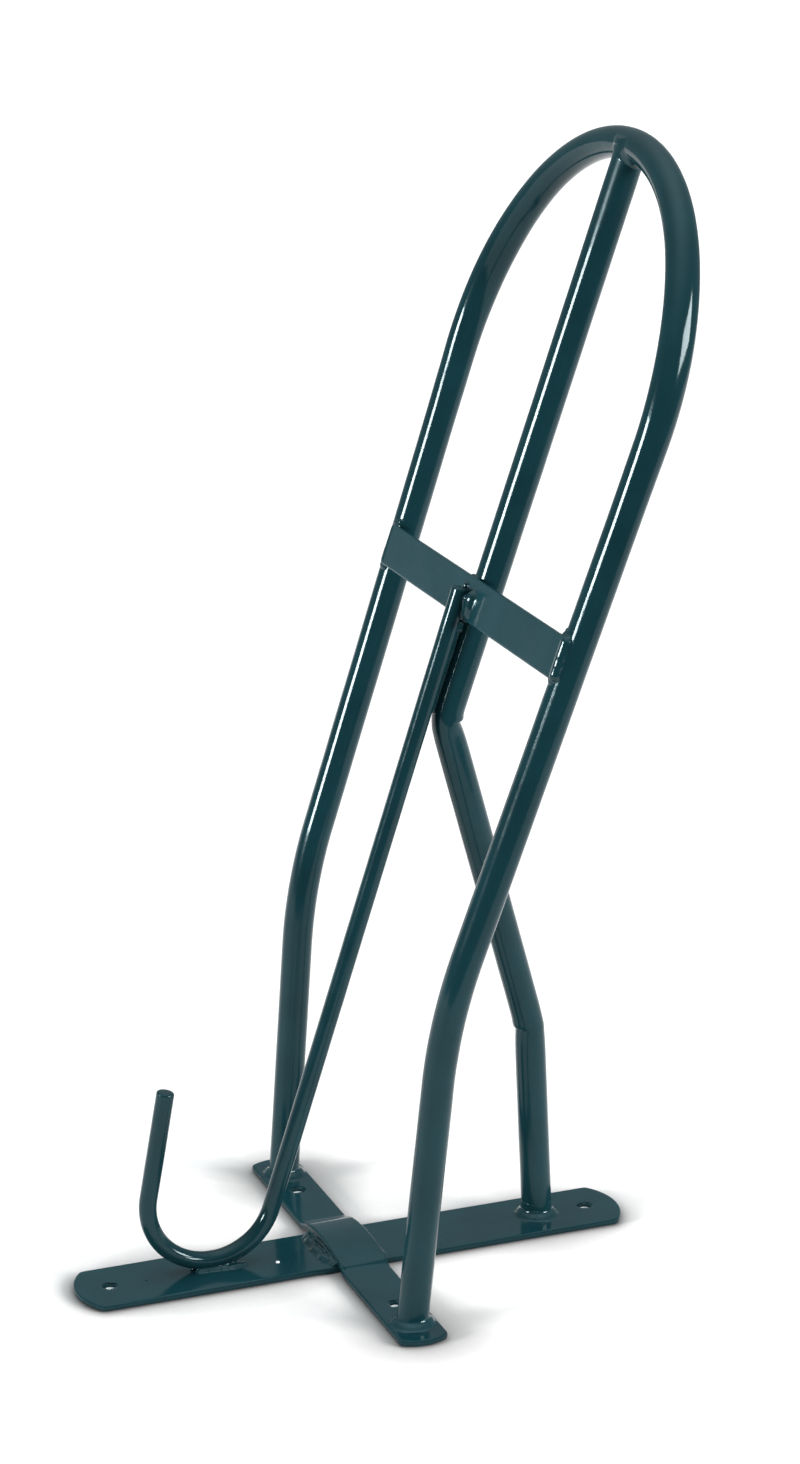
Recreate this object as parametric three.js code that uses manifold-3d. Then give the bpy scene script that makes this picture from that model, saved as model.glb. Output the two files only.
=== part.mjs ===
// A wall-mounted saddle rack with a bridle hook: two crossed flat bars, a leaning tube hoop with a
// centre tube that carries the saddle, a flat strap across the three tubes, and a round-bar hook.
// Millimetres. The wall is the plane z = 0, and +Z points out of the wall. +X runs along the long
// bar towards its upper end, +Y along the short bar. The origin is where the two bars cross.

import * as THREE from 'three';
import { mergeVertices } from 'three/addons/utils/BufferGeometryUtils.js';
import Module from 'manifold-3d';

// Stock
const TUBE_RADIUS = 9;
const TUBE_WALL = 1.5;
const ROD_RADIUS = 5;
const PLATE = 4;
const STRAP_THICKNESS = 3;
const GAP = 0.3;

// Long bar
const LONG_WIDTH = 50;
const LONG_BAR_Y = -1.5;
const LONG_LOW_END = -169.5;
const LONG_HIGH_END = 178;
const LONG_END_RADIUS = 37;
const LONG_HOLE_INSET = 21;

// Short bar, bent up over the long bar
const SHORT_WIDTH = 30;
const SHORT_HALF_LENGTH = 134;
const SHORT_END_RADIUS = 26;
const SHORT_HOLE_Y = 84;
const STEP_INNER_Y = 27;
const STEP_OUTER_Y = 35;
const SCREW_HOLE_RADIUS = 3.25;

// Side hoop
const FOOT_Y = 110;
const SPLAY = 2.75;
const LOW_BEND_X = 16;
const LOW_BEND_Z = 192;
const LOW_BEND_RADIUS = 320;
const LEAN = 19;
const LEG_RUN = 343;
const SHOULDER_RADIUS = 150;
const SHOULDER_ANGLE = 40;

// Centre tube
const CENTRE_Y = -1;
const CENTRE_FOOT_X = 125.2;
const CENTRE_LOW_BEND = new THREE.Vector3(118.8, CENTRE_Y, 130);
const CENTRE_HIGH_BEND_RUN = 145;
const CENTRE_BEND_RADIUS = 20;

// Strap
const STRAP_WIDTH = 25;
const STRAP_RUN = 206;
const STRAP_RIGHT_END = -133;
const STRAP_LEFT_END = 125;
const STRAP_CORNER = 3;

// Bridle hook
const HOOK_TOP_RUN = 223.5;
const HOOK_LIFT = 0.4;
const HOOK_TILT = 0.5;
const HOOK_BEND_X = -84.6;
const HOOK_BEND_RADIUS = 39.3;
const HOOK_TIP_LEAN = 10;
const HOOK_TIP_LENGTH = 67.5;

// Weld beads
const FOOT_BEAD_WIDTH = 4.2;
const FOOT_BEAD_HEIGHT = 5;
const BEAD_RADIUS = 3;

// Facets
const TUBE_SIDES = 24;
const ROD_SIDES = 18;
const STEP_DEGREES = 9;

const COAT_COLOUR = 0x1d3c42;
const WELD_COLOUR = 0x1a373d;

const radians = THREE.MathUtils.degToRad;
const point = (x, y, z) => new THREE.Vector3(x, y, z);
const along = (start, direction, length) => start.clone().addScaledVector(direction, length);

// The leaning plane of the hoop: UP_LEG runs along it in the plane y = 0, OUTWARD is its normal on
// the hook's side.
const UP_LEG = point(Math.sin(radians(LEAN)), 0, Math.cos(radians(LEAN)));
const OUTWARD = point(-Math.cos(radians(LEAN)), 0, Math.sin(radians(LEAN)));
const SIDEWAYS = point(0, 1, 0);
const PLANE_BASE = point(LOW_BEND_X, 0, LOW_BEND_Z);
const inPlane = (run, y, offset = 0) =>
  along(along(along(PLANE_BASE, UP_LEG, run), SIDEWAYS, y), OUTWARD, offset);

// ---- Solids and booleans ----

const wasm = await Module();
wasm.setup();

function solidOf(geometry) {
  const bare = geometry.clone();
  bare.deleteAttribute('normal');
  bare.deleteAttribute('uv');
  const merged = mergeVertices(bare);
  const vertProperties = new Float32Array(merged.attributes.position.array);
  const triVerts = new Uint32Array(merged.index.array);
  return new wasm.Manifold(new wasm.Mesh({ numProp: 3, vertProperties, triVerts }));
}

function geometryOf(solid) {
  const { vertProperties, triVerts } = solid.getMesh();
  const geometry = new THREE.BufferGeometry();
  geometry.setAttribute('position', new THREE.BufferAttribute(vertProperties, 3));
  geometry.setIndex(new THREE.BufferAttribute(triVerts, 1));
  geometry.computeVertexNormals();
  return geometry;
}

function cut(geometry, ...tools) {
  let solid = solidOf(geometry);
  for (const tool of tools) solid = solid.subtract(tool);
  return geometryOf(solid);
}

function boxSolid(low, high) {
  const size = high.clone().sub(low);
  const box = new THREE.BoxGeometry(size.x, size.y, size.z);
  box.translate(low.x + size.x / 2, low.y + size.y / 2, low.z + size.z / 2);
  return solidOf(box);
}

// ---- Bent tubes and rods ----

// A centre line known at its stations, so that straight runs cost no facets.
class BentLine extends THREE.Curve {
  constructor(stations) {
    super();
    this.stations = stations;
  }

  station(u) {
    return this.stations[Math.round(u * (this.stations.length - 1))];
  }

  getPoint(u, target = new THREE.Vector3()) {
    return target.copy(this.station(u).position);
  }

  getPointAt(u, target) {
    return this.getPoint(u, target);
  }

  getTangent(u, target = new THREE.Vector3()) {
    return target.copy(this.station(u).tangent);
  }

  getTangentAt(u, target) {
    return this.getTangent(u, target);
  }
}

// Stations round a bend that starts at a position with a tangent and turns about an axis.
function bend(start, axis, radius, degrees) {
  const inward = axis.clone().cross(start.tangent).normalize();
  const centre = along(start.position, inward, radius);
  const steps = Math.max(2, Math.ceil(degrees / STEP_DEGREES));
  const stations = [];
  for (let i = 1; i <= steps; i += 1) {
    const angle = radians((degrees * i) / steps);
    const arm = inward.clone().multiplyScalar(-radius).applyAxisAngle(axis, angle);
    stations.push({
      position: centre.clone().add(arm),
      tangent: start.tangent.clone().applyAxisAngle(axis, angle),
    });
  }
  return stations;
}

// Stations of a run from one point to the next with its corners bent to a radius.
function bentRun(points, radius) {
  const heading = (i) => points[i + 1].clone().sub(points[i]).normalize();
  const stations = [{ position: points[0], tangent: heading(0) }];
  for (let i = 1; i < points.length - 1; i += 1) {
    const before = heading(i - 1);
    const after = heading(i);
    const turn = before.angleTo(after);
    const start = {
      position: along(points[i], before, -radius * Math.tan(turn / 2)),
      tangent: before,
    };
    const axis = before.clone().cross(after).normalize();
    stations.push(start, ...bend(start, axis, radius, THREE.MathUtils.radToDeg(turn)));
  }
  const last = points.length - 1;
  stations.push({ position: points[last], tangent: heading(last - 1) });
  return stations;
}

function sweep(stations, radius, sides, boreRadius = 0) {
  const section = new THREE.Shape();
  section.absarc(0, 0, radius, 0, 2 * Math.PI);
  if (boreRadius > 0) {
    const bore = new THREE.Path();
    bore.absarc(0, 0, boreRadius, 0, 2 * Math.PI);
    section.holes.push(bore);
  }
  return new THREE.ExtrudeGeometry(section, {
    steps: stations.length - 1,
    curveSegments: sides,
    extrudePath: new BentLine(stations),
  });
}

// ---- Centre lines ----

// One leg of the hoop from its foot to the middle of the nose: side is +1 or -1.
function hoopSide(side) {
  const splay = radians(SPLAY);
  const bendY = FOOT_Y + (LOW_BEND_Z - PLATE) * Math.tan(splay);
  const foot = point(0, side * FOOT_Y, 0);
  const lowBend = point(LOW_BEND_X, side * bendY, LOW_BEND_Z);
  const legHeading = UP_LEG.clone().multiplyScalar(Math.cos(splay));
  legHeading.addScaledVector(SIDEWAYS, side * Math.sin(splay));
  const legTop = along(lowBend, legHeading, LEG_RUN);
  const stations = bentRun([foot, lowBend, legTop], LOW_BEND_RADIUS);

  const noseAngle = 90 + SPLAY - SHOULDER_ANGLE;
  const shoulderEnd = radians(SHOULDER_ANGLE - SPLAY);
  const inset = SHOULDER_RADIUS * (Math.cos(splay) - Math.cos(shoulderEnd));
  const noseRadius = (Math.abs(legTop.y) - inset) / Math.cos(shoulderEnd);
  const axis = OUTWARD.clone().multiplyScalar(-side);
  stations.push(...bend(stations.at(-1), axis, SHOULDER_RADIUS, SHOULDER_ANGLE));
  stations.push(...bend(stations.at(-1), axis, noseRadius, noseAngle));
  return stations;
}

function hoopLine() {
  const left = hoopSide(1);
  const right = hoopSide(-1).slice(0, -1).reverse();
  const turned = right.map(({ position, tangent }) => ({ position, tangent: tangent.negate() }));
  return [...left, ...turned];
}

function centreLine(nose) {
  const foot = point(CENTRE_FOOT_X, CENTRE_Y, 0);
  const highBend = inPlane(CENTRE_HIGH_BEND_RUN, CENTRE_Y);
  const top = nose.clone().setY(CENTRE_Y);
  return bentRun([foot, CENTRE_LOW_BEND, highBend, top], CENTRE_BEND_RADIUS);
}

// From the end on the strap, down along the centre tube, round the J and up to the tip. The whole
// hook tilts a little, so that its upper end is right of the centre tube.
function hookLine() {
  const top = inPlane(HOOK_TOP_RUN, 0, HOOK_OFFSET);
  const centre = point(HOOK_BEND_X, 0, PLATE + GAP + ROD_RADIUS + HOOK_BEND_RADIUS);
  const arm = top.clone().sub(centre);
  const armAngle = Math.atan2(arm.z, arm.x);
  const startAngle = armAngle - Math.acos(HOOK_BEND_RADIUS / arm.length());
  const start = {
    position: along(centre, point(Math.cos(startAngle), 0, Math.sin(startAngle)), HOOK_BEND_RADIUS),
    tangent: point(Math.sin(startAngle), 0, -Math.cos(startAngle)),
  };
  const turn = 180 + HOOK_TIP_LEAN + THREE.MathUtils.radToDeg(startAngle);
  const round = bend(start, SIDEWAYS, HOOK_BEND_RADIUS, turn);
  const tipStart = round.at(-1);
  const tip = along(tipStart.position, tipStart.tangent, HOOK_TIP_LENGTH);
  const stations = [
    { position: top, tangent: start.tangent },
    start,
    ...round,
    { position: tip, tangent: tipStart.tangent },
  ];
  const tilt = new THREE.Matrix4().makeRotationX(radians(HOOK_TILT));
  return stations.map(({ position, tangent }) => ({
    position: position.clone().applyMatrix4(tilt),
    tangent: tangent.clone().applyMatrix4(tilt),
  }));
}

// How far the tilt carries the hook sideways at a height.
const hookY = (z) => -z * Math.tan(radians(HOOK_TILT));

const STRAP_BACK = TUBE_RADIUS + GAP;
const STRAP_FACE = STRAP_BACK + STRAP_THICKNESS;
const HOOK_OFFSET = STRAP_FACE + GAP + ROD_RADIUS + HOOK_LIFT;
const HOOP = hoopLine();
const NOSE = HOOP[(HOOP.length - 1) / 2].position;
const CENTRE = centreLine(NOSE);
const HOOK = hookLine();

// ---- Clearances: each neighbour grown by the gap ----

const clearOfHoop = solidOf(sweep(HOOP, TUBE_RADIUS + GAP, TUBE_SIDES));
const clearOfCentre = solidOf(sweep(CENTRE, TUBE_RADIUS + GAP, TUBE_SIDES));
const clearOfHook = solidOf(sweep(HOOK, ROD_RADIUS + GAP, ROD_SIDES));
const belowPlates = boxSolid(point(-200, -150, -50), point(200, 150, PLATE + GAP));
const clearOfStrap = solidOf(strapBlank(GAP));

// ---- Flat bars ----

// The plan of a bar along X with ends rounded to a large radius, and its screw holes.
function barPlan(low, high, width, endRadius, holes) {
  const plan = new THREE.Shape();
  const half = Math.asin(width / 2 / endRadius);
  plan.absarc(high - endRadius, 0, endRadius, -half, half);
  plan.absarc(low + endRadius, 0, endRadius, Math.PI - half, Math.PI + half);
  for (const x of holes) {
    const hole = new THREE.Path();
    hole.absarc(x, 0, SCREW_HOLE_RADIUS, 0, 2 * Math.PI);
    plan.holes.push(hole);
  }
  return plan;
}

function longBar() {
  const holes = [LONG_LOW_END + LONG_HOLE_INSET, LONG_HIGH_END - LONG_HOLE_INSET];
  const plan = barPlan(LONG_LOW_END, LONG_HIGH_END, LONG_WIDTH, LONG_END_RADIUS, holes);
  const bar = new THREE.ExtrudeGeometry(plan, { depth: PLATE, bevelEnabled: false, curveSegments: 16 });
  return bar.translate(0, LONG_BAR_Y, 0);
}

// The side view of the short bar: flat, a step up over the long bar, and flat again.
function stepProfile() {
  const rise = PLATE + GAP;
  const slope = Math.atan2(rise, STEP_OUTER_Y - STEP_INNER_Y);
  const shift = PLATE * Math.tan(slope / 2);
  const end = SHORT_HALF_LENGTH + 1;
  const half = [
    [STEP_INNER_Y, rise],
    [STEP_OUTER_Y, 0],
    [end, 0],
    [end, PLATE],
    [STEP_OUTER_Y + shift, PLATE],
    [STEP_INNER_Y + shift, rise + PLATE],
  ];
  const mirrored = half.map(([y, z]) => [-y, z]).reverse();
  return new THREE.Shape([...half, ...mirrored].map(([y, z]) => new THREE.Vector2(y, z)));
}

function shortBar() {
  const profile = stepProfile();
  const strip = new THREE.ExtrudeGeometry(profile, { depth: 2 * SHORT_WIDTH, bevelEnabled: false });
  strip.translate(0, 0, -SHORT_WIDTH);
  strip.rotateX(Math.PI / 2);
  strip.rotateZ(Math.PI / 2);

  const holes = [-SHORT_HOLE_Y, SHORT_HOLE_Y];
  const half = SHORT_HALF_LENGTH;
  const plan = barPlan(-half, half, SHORT_WIDTH, SHORT_END_RADIUS, holes);
  const outline = new THREE.ExtrudeGeometry(plan, { depth: 40, bevelEnabled: false, curveSegments: 16 });
  outline.rotateZ(Math.PI / 2);
  outline.translate(0, 0, -10);
  return geometryOf(solidOf(strip).intersect(solidOf(outline)));
}

// The strap lies on the hook side of the tubes. Its blank is in the leaning plane, grown all round.
function strapBlank(growth) {
  const left = STRAP_LEFT_END + growth;
  const right = STRAP_RIGHT_END - growth;
  const low = STRAP_RUN - growth;
  const high = STRAP_RUN + STRAP_WIDTH + growth;
  const r = STRAP_CORNER;
  const plan = new THREE.Shape();
  plan.absarc(high - r, left - r, r, 0, Math.PI / 2);
  plan.absarc(low + r, left - r, r, Math.PI / 2, Math.PI);
  plan.absarc(low + r, right + r, r, Math.PI, 1.5 * Math.PI);
  plan.absarc(high - r, right + r, r, 1.5 * Math.PI, 2 * Math.PI);
  const depth = STRAP_THICKNESS + 2 * growth;
  const strap = new THREE.ExtrudeGeometry(plan, { depth, bevelEnabled: false, curveSegments: 4 });
  const pose = new THREE.Matrix4().makeBasis(UP_LEG, SIDEWAYS, OUTWARD);
  pose.setPosition(along(PLANE_BASE, OUTWARD, STRAP_BACK - growth));
  return strap.applyMatrix4(pose);
}

// ---- Tubes and hook ----

function hoopTube() {
  const tube = sweep(HOOP, TUBE_RADIUS, TUBE_SIDES, TUBE_RADIUS - TUBE_WALL);
  return cut(tube, belowPlates);
}

// The centre tube's upper end is shaped to the inside of the hoop's nose.
function centreTube() {
  const tube = sweep(CENTRE, TUBE_RADIUS, TUBE_SIDES, TUBE_RADIUS - TUBE_WALL);
  return cut(tube, belowPlates, clearOfHoop);
}

function bridleHook() {
  return sweep(HOOK, ROD_RADIUS, ROD_SIDES);
}

// ---- Welds ----

// A fillet ring round the foot of a tube.
function footWeld(x, y) {
  const outer = TUBE_RADIUS + FOOT_BEAD_WIDTH;
  const low = PLATE + GAP;
  const profile = [
    new THREE.Vector2(TUBE_RADIUS - 2, low),
    new THREE.Vector2(outer, low),
    new THREE.Vector2(outer - 0.4, low + 1.2),
    new THREE.Vector2(TUBE_RADIUS + 1.6, low + 3.2),
    new THREE.Vector2(TUBE_RADIUS + 0.7, low + FOOT_BEAD_HEIGHT),
    new THREE.Vector2(TUBE_RADIUS - 2, low + FOOT_BEAD_HEIGHT),
    new THREE.Vector2(TUBE_RADIUS - 2, low),
  ];
  const ring = new THREE.LatheGeometry(profile, TUBE_SIDES);
  ring.rotateX(Math.PI / 2);
  return ring.translate(x, y, 0);
}

// A straight bead with round ends.
function bead(start, end, radius = BEAD_RADIUS) {
  const line = end.clone().sub(start);
  const capsule = new THREE.CapsuleGeometry(radius, line.length(), 3, 12);
  const turn = new THREE.Quaternion().setFromUnitVectors(point(0, 1, 0), line.normalize());
  capsule.applyQuaternion(turn);
  const middle = start.clone().add(end).multiplyScalar(0.5);
  return capsule.translate(middle.x, middle.y, middle.z);
}

// A bead round the saddle-shaped joint of the centre tube and the nose.
function noseWeld() {
  const sides = 8;
  const steps = 32;
  const positions = [];
  const index = [];
  for (let i = 0; i < steps; i += 1) {
    const turn = (2 * Math.PI * i) / steps;
    const outwards = SIDEWAYS.clone().multiplyScalar(Math.cos(turn));
    outwards.addScaledVector(OUTWARD, Math.sin(turn));
    const drop = TUBE_RADIUS * Math.abs(Math.cos(turn)) + 1;
    const middle = along(along(NOSE, outwards, TUBE_RADIUS), UP_LEG, -drop);
    for (let j = 0; j < sides; j += 1) {
      const around = (2 * Math.PI * j) / sides;
      const rim = along(middle, outwards, BEAD_RADIUS * Math.cos(around));
      positions.push(...along(rim, UP_LEG, BEAD_RADIUS * Math.sin(around)).toArray());
      const a = i * sides + j;
      const b = i * sides + ((j + 1) % sides);
      const c = ((i + 1) % steps) * sides + j;
      const d = ((i + 1) % steps) * sides + ((j + 1) % sides);
      index.push(a, c, b, b, c, d);
    }
  }
  const ring = new THREE.BufferGeometry();
  ring.setAttribute('position', new THREE.Float32BufferAttribute(positions, 3));
  ring.setIndex(index);
  return cut(ring, clearOfHoop, clearOfCentre);
}

// A bead down the end of the strap, on the leg that it is welded to.
function strapEndWeld(y, offset) {
  const low = inPlane(STRAP_RUN, y, offset);
  const high = inPlane(STRAP_RUN + STRAP_WIDTH, y, offset);
  return cut(bead(low, high), clearOfHoop, clearOfStrap);
}

// A bead across the centre tube, along one edge of the strap.
function strapEdgeWeld(run) {
  const reach = 5;
  const offset = TUBE_RADIUS + 1;
  const ends = [-reach, reach].map((y) => inPlane(run, CENTRE_Y + y, offset));
  const raw = bead(...ends);
  return cut(raw, clearOfCentre, clearOfStrap, clearOfHook);
}

function hookOnStrapWeld() {
  const side = hookY(HOOK[0].position.z) - ROD_RADIUS - 0.5;
  const offset = STRAP_FACE + 2;
  const raw = bead(inPlane(STRAP_RUN + 4, side, offset), inPlane(HOOK_TOP_RUN - 1, side, offset), 3.6);
  return cut(raw, clearOfHook, clearOfStrap);
}

function hookOnTubeWeld() {
  const offset = (TUBE_RADIUS + HOOK_OFFSET - ROD_RADIUS) / 2;
  const y = (CENTRE_Y + hookY(HOOK[0].position.z)) / 2;
  const raw = bead(inPlane(STRAP_RUN - 26, y, offset), inPlane(STRAP_RUN - 9, y, offset), 4);
  return cut(raw, clearOfHook, clearOfCentre, clearOfStrap);
}

function hookOnBarWeld(side) {
  const reach = 15;
  const y = side * ROD_RADIUS;
  const z = PLATE + 2;
  const raw = bead(point(HOOK_BEND_X - reach, y, z), point(HOOK_BEND_X + reach, y, z));
  return cut(raw, clearOfHook, belowPlates);
}

// A fillet along one side of the short bar where it crosses the long bar.
function crossingWeld(side, leg) {
  const inner = SHORT_WIDTH / 2 + GAP;
  const low = PLATE + GAP;
  const reach = LONG_WIDTH / 2 - 1.5;
  const section = new THREE.Shape([
    new THREE.Vector2(inner, low),
    new THREE.Vector2(inner + leg, low),
    new THREE.Vector2(inner + leg * 0.6, low + leg * 0.55),
    new THREE.Vector2(inner, low + Math.min(leg, PLATE)),
  ]);
  const fillet = new THREE.ExtrudeGeometry(section, { depth: 2 * reach, bevelEnabled: false });
  fillet.rotateX(Math.PI / 2);
  fillet.translate(0, reach, 0);
  if (side < 0) fillet.rotateZ(Math.PI);
  return fillet.translate(0, LONG_BAR_Y, 0);
}

// ---- Assembly ----

const rack = new THREE.Group();

function add(name, geometry, color = COAT_COLOUR) {
  const material = new THREE.MeshStandardMaterial({ color, roughness: 0.28, metalness: 0 });
  const mesh = new THREE.Mesh(geometry, material);
  mesh.name = name;
  rack.add(mesh);
}

const addWeld = (name, geometry) => add(name, geometry, WELD_COLOUR);

add('long_wall_bar', longBar());
add('short_wall_bar', shortBar());
add('side_hoop', hoopTube());
add('centre_tube', centreTube());
add('cross_strap', strapBlank(0));
add('bridle_hook', bridleHook());

addWeld('hoop_foot_weld_left', cut(footWeld(0.3, FOOT_Y), clearOfHoop));
addWeld('hoop_foot_weld_right', cut(footWeld(0.3, -FOOT_Y), clearOfHoop));
addWeld('centre_foot_weld', cut(footWeld(CENTRE_FOOT_X - 0.3, CENTRE_Y), clearOfCentre));
addWeld('nose_weld', noseWeld());
addWeld('strap_weld_left', strapEndWeld(STRAP_LEFT_END + 1, TUBE_RADIUS + 1.5));
addWeld('strap_weld_right', strapEndWeld(STRAP_RIGHT_END - 1, TUBE_RADIUS + 0.5));
addWeld('strap_weld_centre_upper', strapEdgeWeld(STRAP_RUN + STRAP_WIDTH + 1));
addWeld('strap_weld_centre_lower', strapEdgeWeld(STRAP_RUN - 1));
addWeld('hook_strap_weld', hookOnStrapWeld());
addWeld('hook_tube_weld', hookOnTubeWeld());
addWeld('hook_bar_weld_left', hookOnBarWeld(1));
addWeld('hook_bar_weld_right', hookOnBarWeld(-1));
addWeld('crossing_weld_lower', crossingWeld(-1, 5));
addWeld('crossing_weld_upper', crossingWeld(1, 3));

export default rack;
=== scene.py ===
"""The looks of a wall-mounted saddle rack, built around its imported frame.

Lengths are in millimetres while shapes are made, and in metres in the meshes. +Z points out of the
wall, +X to the upper end of the long bar, +Y along the short bar.
"""

import math

import bpy
import numpy as np
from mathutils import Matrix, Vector
from mathutils.geometry import delaunay_2d_cdt


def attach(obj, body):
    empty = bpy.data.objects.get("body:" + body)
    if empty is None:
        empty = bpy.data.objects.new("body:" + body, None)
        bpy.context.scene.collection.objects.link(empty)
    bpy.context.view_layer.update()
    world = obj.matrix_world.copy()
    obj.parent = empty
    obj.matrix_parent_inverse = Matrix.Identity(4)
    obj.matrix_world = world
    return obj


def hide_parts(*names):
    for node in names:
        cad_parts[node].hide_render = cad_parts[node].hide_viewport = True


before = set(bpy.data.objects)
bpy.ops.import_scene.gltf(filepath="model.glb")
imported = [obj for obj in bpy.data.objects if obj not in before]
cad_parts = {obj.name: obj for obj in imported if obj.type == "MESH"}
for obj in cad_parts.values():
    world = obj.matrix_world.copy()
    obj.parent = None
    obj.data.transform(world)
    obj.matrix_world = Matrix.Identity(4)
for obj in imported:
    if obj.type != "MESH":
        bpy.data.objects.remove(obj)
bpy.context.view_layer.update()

MM = 0.001

# ---- Sizes, as in the frame ----

# Stock, and the gap between touching pieces
TUBE_R = 9.0
ROD_R = 5.0
PLATE = 4.0
STRAP_T = 3.0
GAP = 0.3

# The tubes' feet go this far into the bars.
FOOT_SINK = 0.3

# The coat is thick, which makes the tubes and the hook this much fatter all round.
TUBE_COAT_T = 0.25
ROD_COAT_T = 0.35

# The two flat bars
LONG_W = 50.0
LONG_Y = -1.5
LONG_LOW, LONG_HIGH = -169.5, 178.0
LONG_END_R = 37.0
LONG_HOLE_INSET = 21.0

SHORT_W = 30.0
SHORT_HALF = 134.0
SHORT_END_R = 26.0
SHORT_HOLE_Y = 84.0
STEP_IN, STEP_OUT = 27.0, 35.0
SHORT_BOW = 2.5
HOLE_R = 3.25
HOLE_EDGE = 1.9
BAR_EDGE = 1.3

# The hoop
FOOT_Y = 110.0
SPLAY = math.radians(2.75)
BEND_X, BEND_Z = 16.0, 192.0
BEND_R = 320.0
LEG_BEND_Y = FOOT_Y + (BEND_Z - PLATE) * math.tan(SPLAY)
LEAN = math.radians(19)
LEG_RUN = 343.0
SHOULDER_R = 150.0
SHOULDER_A = math.radians(40)

# The centre tube
CENTRE_Y = -1.0
CENTRE_FOOT_X = 125.2
CENTRE_LOW = (118.8, CENTRE_Y, 130.0)
CENTRE_RUN = 145.0
CENTRE_BEND_R = 20.0

# The strap, whose run is up the leaning plane from the hoop's bends
STRAP_W = 25.0
STRAP_RUN = 206.0
STRAP_RIGHT, STRAP_LEFT = -133.0, 125.0
STRAP_BACK = TUBE_R + GAP
STRAP_FACE = STRAP_BACK + STRAP_T
STRAP_EDGE = 0.7

# The hook
HOOK_RUN = 223.5
HOOK_OFFSET = STRAP_FACE + GAP + ROD_R + 0.4
HOOK_TILT = math.radians(0.5)
HOOK_X = -84.6
HOOK_R = 39.3
HOOK_CENTRE = (HOOK_X, 0.0, PLATE + GAP + ROD_R + HOOK_R)
TIP_LEAN = math.radians(10)
TIP_LENGTH = 67.5
HOOK_EDGE = 1.5


def vec(*c):
    return np.array(c, float)


UP_LEG = vec(math.sin(LEAN), 0, math.cos(LEAN))
OUTWARD = vec(-math.cos(LEAN), 0, math.sin(LEAN))
ALONG = vec(1, 0, 0)
SIDE = vec(0, 1, 0)
UP = vec(0, 0, 1)
# Turns a thing on the left into its twin on the right
FLIP = vec(1, -1, 1)
BASE = vec(BEND_X, 0, BEND_Z)


def in_plane(run, y, offset=0.0):
    """A point of the leaning plane of the hoop, offset towards the hook's side."""
    return BASE + UP_LEG * run + SIDE * y + OUTWARD * offset


def unit(v):
    return v / np.linalg.norm(v)


# ---- Noise that is the same on every run ----


def lattice(i, seed):
    h = (i[..., 0] * 73856093) ^ (i[..., 1] * 19349663) ^ (i[..., 2] * 83492791) ^ (seed * 2654435761)
    h = (h ^ (h >> 13)) * 1274126177 & 0xFFFFFFFF
    h = (h ^ (h >> 16)) & 0xFFFF
    return h / 32767.5 - 1.0


def noise(p, size, seed=0):
    """Smooth noise from -1 to 1 with features of a size."""
    q = np.asarray(p, float) / size
    i = np.floor(q).astype(np.int64)
    f = q - i
    f = f * f * (3 - 2 * f)
    out = 0.0
    for corner in np.ndindex(2, 2, 2):
        w = np.where(corner, f, 1 - f).prod(-1)
        out = out + w * lattice(i + np.array(corner), seed)
    return out


# ---- Meshes ----


def add_object(name, data):
    thing = bpy.data.objects.new(name, data)
    bpy.context.scene.collection.objects.link(thing)
    return thing


def make_piece(name, verts, faces, material, replaces):
    """A closed mesh from millimetres, which rides on the rack and stands for CAD nodes."""
    mesh = bpy.data.meshes.new(name)
    mesh.from_pydata([tuple(v) for v in np.asarray(verts) * MM], [], [tuple(map(int, f)) for f in faces])
    mesh.validate()
    mesh.update()
    mesh.shade_smooth()
    piece = add_object(name, mesh)
    piece.data.materials.append(material)
    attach(piece, "root")
    if replaces:
        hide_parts(*replaces)
    return piece


def ring_faces(count, sides):
    """The faces between rings of points, and from the end rings to two points after them all."""
    faces = []
    last = (count - 1) * sides
    for j in range(sides):
        k = (j + 1) % sides
        faces += [(i + j, i + k, i + sides + k, i + sides + j) for i in range(0, last, sides)]
        faces.append((k, j, count * sides))
        faces.append((last + j, last + k, count * sides + 1))
    return faces


# ---- Centre lines ----


def turn(v, axis, angle):
    c, s = math.cos(angle), math.sin(angle)
    return v * c + np.cross(axis, v) * s + axis * np.dot(axis, v) * (1 - c)


def straight(points, tangents, end, step):
    """Adds a straight run to a centre line."""
    start = points[-1]
    length = np.linalg.norm(end - start)
    count = max(1, math.ceil(length / step))
    for i in range(1, count + 1):
        points.append(start + (end - start) * i / count)
        tangents.append(tangents[-1])


def bend(points, tangents, axis, radius, angle, step):
    """Adds a bend about an axis to a centre line."""
    start, tangent = points[-1], tangents[-1]
    inward = unit(np.cross(axis, tangent))
    centre = start + inward * radius
    count = max(2, math.ceil(radius * angle / step))
    for i in range(1, count + 1):
        a = angle * i / count
        points.append(centre - turn(inward, axis, a) * radius)
        tangents.append(turn(tangent, axis, a))


def bent_run(corners, radius, step, bend_step):
    """A centre line through corners that are bent to a radius, and where each bend's middle is."""
    points = [corners[0]]
    tangents = [unit(corners[1] - corners[0])]
    middles = []
    for before, corner, after in zip(corners, corners[1:], corners[2:]):
        a, b = unit(corner - before), unit(after - corner)
        angle = math.acos(np.clip(np.dot(a, b), -1, 1))
        reach = radius * math.tan(angle / 2)
        straight(points, tangents, corner - a * reach, step)
        first = len(points) - 1
        bend(points, tangents, unit(np.cross(a, b)), radius, angle, bend_step)
        middles.append((first + len(points) - 1) // 2)
    straight(points, tangents, corners[-1], step)
    return points, tangents, middles


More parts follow.
